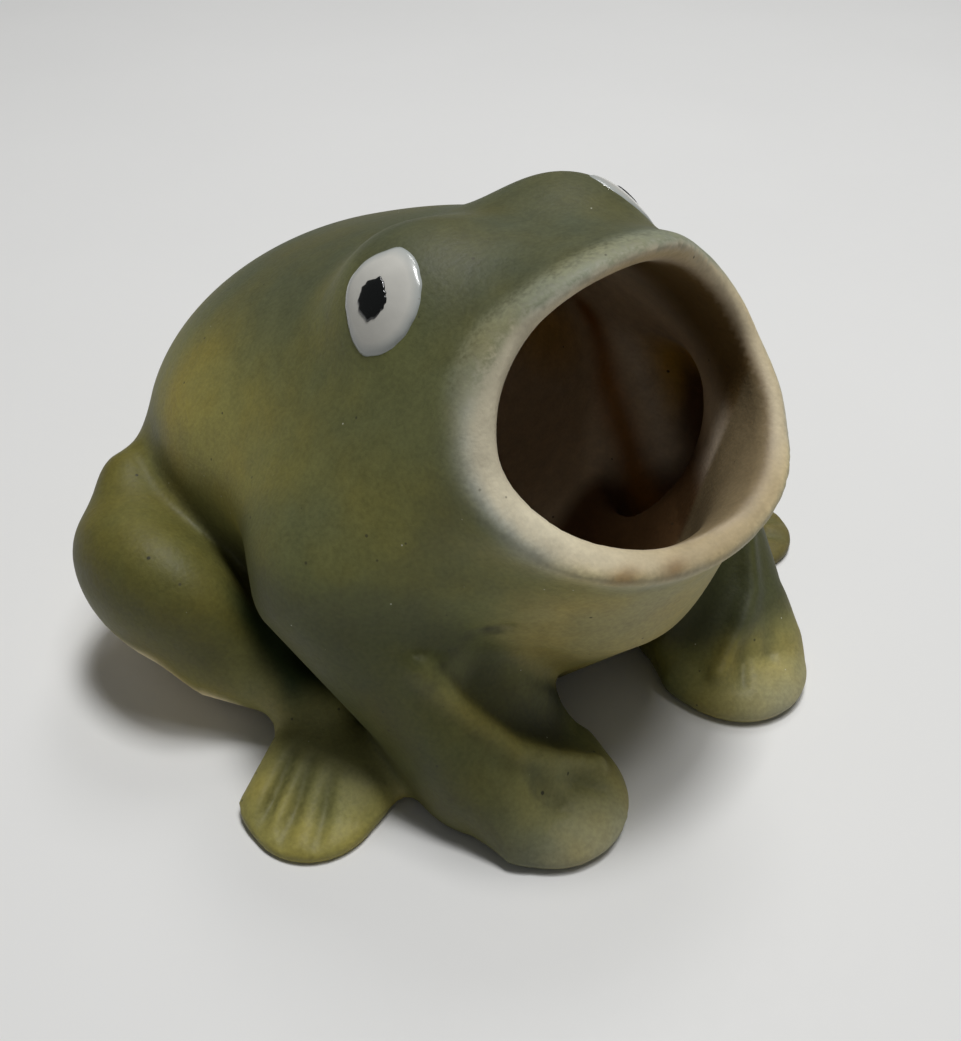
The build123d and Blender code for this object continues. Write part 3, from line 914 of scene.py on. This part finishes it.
# %% Bisque
SPRAY_GREEN, CLOUD_YELLOW = (0.21, 0.225, 0.155, 1), (1.18, 1.05, 0.75, 1)
FINE_SPECK, DARK_SPECK = (0.05, 0.045, 0.025, 1), (0.02, 0.02, 0.012, 1)
PALE_GRIT = (0.62, 0.62, 0.5, 1)
bisque, feed, wire = new_material("bisque")
paint, bare_clay, misted = stored(wire, "paint", "Color"), stored(wire, "bare"), stored(wire, "mist")
clouds, lumps, grain = noise(wire, 70, 3), noise(wire, 320, 3), noise(wire, 1500, 2)
spray = misted * (0.6 * grain + 0.4 * lumps).ramp((0.3, 0.1), (0.55, 1.0))
colour = paint.mixed(SPRAY_GREEN, spray)
cloudy = clouds.ramp((0.4, 0.0), (0.7, 1.0)) * (1 - bare_clay)
colour = cloudy.between(colour, CLOUD_YELLOW, "MULTIPLY")
mottle, speckle = lumps.ramp((0.3, 0.0), (0.7, 1.0)), grain.ramp((0.3, 0.0), (0.7, 1.0))
colour = colour.times(0.82 + 0.16 * mottle + (0.2 - 0.1 * bare_clay) * speckle)
colour = colour.mixed(FINE_SPECK, 0.75 * specks(wire, 330, 0.09, 0.25))
colour = colour.mixed(DARK_SPECK, 0.85 * specks(wire, 150, 0.055, 0.3))
colour = colour.mixed(PALE_GRIT, 0.8 * specks(wire, 420, 0.06, 0.12) * (1 - bare_clay))
bump = bumpy(wire, 0.25, 0.6 * grain + 0.4 * noise(wire, 600, 2))
rough = 0.44 + 0.22 * lumps + 0.05 * bare_clay
feed(Base_Color=colour, Roughness=rough, Normal=bump, Specular_IOR_Level=0.3)
for piece in clay_pieces.values():
    piece.data.materials.append(bisque)
print("bisque on", sorted(clay_pieces))

# %% [markdown]
# ## Enamel
# The eyes are enamel that was melted on, so they are smooth, glossy and a little uneven, with a few
# grains of grit in them. The white is thin at its edge and lets the green through as grey. A clear
# coat over a plain colour gives the gloss.

# %% Enamel
ENAMEL_WHITE, ENAMEL_EDGE = (0.62, 0.61, 0.56, 1), (0.36, 0.39, 0.38, 1)
WHITE_GRIT = (0.3, 0.29, 0.25, 1)
ENAMEL_BLACK, BLACK_GRIT = (0.004, 0.005, 0.005, 1), (0.2, 0.2, 0.18, 1)
eye_white, feed, wire = new_material("eye_white")
colour = stored(wire, "edge").ramp((0.78, 0.0), (1.0, 0.9)).between(ENAMEL_WHITE, ENAMEL_EDGE)
colour = colour.times(0.9 + 0.2 * noise(wire, 260, 3))
colour = colour.mixed(WHITE_GRIT, 0.7 * specks(wire, 500, 0.07, 0.2))
bump = bumpy(wire, 0.15, noise(wire, 350))
feed(Base_Color=colour, Roughness=0.16 + 0.14 * noise(wire, 900), Normal=bump, Coat_Weight=0.4)
pupil_black, feed, wire = new_material("pupil_black")
colour = specks(wire, 700, 0.08, 0.12).between(ENAMEL_BLACK, BLACK_GRIT)
bump = bumpy(wire, 0.12, noise(wire, 500))
feed(Base_Color=colour, Roughness=0.1 + 0.12 * noise(wire, 900), Normal=bump, Coat_Weight=0.5)
for name, piece in eye_pieces.items():
    piece.data.materials.append(eye_white if name.endswith("eye") else pupil_black)
print("enamel on", sorted(eye_pieces))

# %% [markdown]
# ## Floor and light
# The frog stands on a plain pale floor under lamps that hang nearly overhead, so its shadow is short
# and lies close to the feet. A picture of a room could light it too, but a few square lamps are
# easier to aim, and their size sets how soft the shadow's edge is. A weak white surround lifts the
# darkest places.

# %% Floor
FLOOR_HALF = 3
FLOOR_DARK, FLOOR_PALE = (0.77, 0.77, 0.76, 1), (0.81, 0.81, 0.8, 1)
pale_floor, feed, wire = new_material("pale_floor")
colour = noise(wire, 12, 3).between(FLOOR_DARK, FLOOR_PALE)
feed(Base_Color=colour, Roughness=0.55 + 0.1 * noise(wire, 300))
corners = [(x * FLOOR_HALF, y * FLOOR_HALF, 0) for x, y in ((-1, -1), (1, -1), (1, 1), (-1, 1))]
floor_mesh = bpy.data.meshes.new("floor")
floor_mesh.from_pydata(corners, [], [(0, 1, 2, 3)])
floor = bpy.data.objects.new("floor", floor_mesh)
floor.data.materials.append(pale_floor)
scene.collection.objects.link(floor)
print("floor in m:", 2 * FLOOR_HALF, "square")

# %% Light
# A lamp has a name, the direction that it stands in, the side of its square in metres and its power.
LAMPS = (
    ("key", (0.13, 0.05, 0.99), 0.22, 5.4),
    ("front", (0.15, -0.18, 0.97), 0.22, 2.1),
    ("side", (0.45, 0.33, 0.83), 0.3, 1.5),
)
LAMP_DISTANCE, LAMP_AIM = 1.0, Vector((0, 0, 0.03))
SURROUND_WHITE, SURROUND_STRENGTH = (1, 1, 1, 1), 0.09


def soft_box(name, toward, size, power):
    """A square lamp that shines at the frog from the given direction."""
    lamp = bpy.data.objects.new(name, bpy.data.lights.new(name, "AREA"))
    lamp.data.size = size
    lamp.data.energy = power
    way = Vector(toward).normalized()
    lamp.location = way * LAMP_DISTANCE + LAMP_AIM
    lamp.rotation_euler = way.to_track_quat("Z", "Y").to_euler()
    scene.collection.objects.link(lamp)


for lamp_values in LAMPS:
    soft_box(*lamp_values)
scene.world = bpy.data.worlds.new("studio")
scene.world.use_nodes = True
surround = scene.world.node_tree.nodes["Background"].inputs
surround["Color"].default_value = SURROUND_WHITE
surround["Strength"].default_value = SURROUND_STRENGTH
scene.view_settings.view_transform = "Standard"
print("lamps:", [lamp_values[0] for lamp_values in LAMPS])
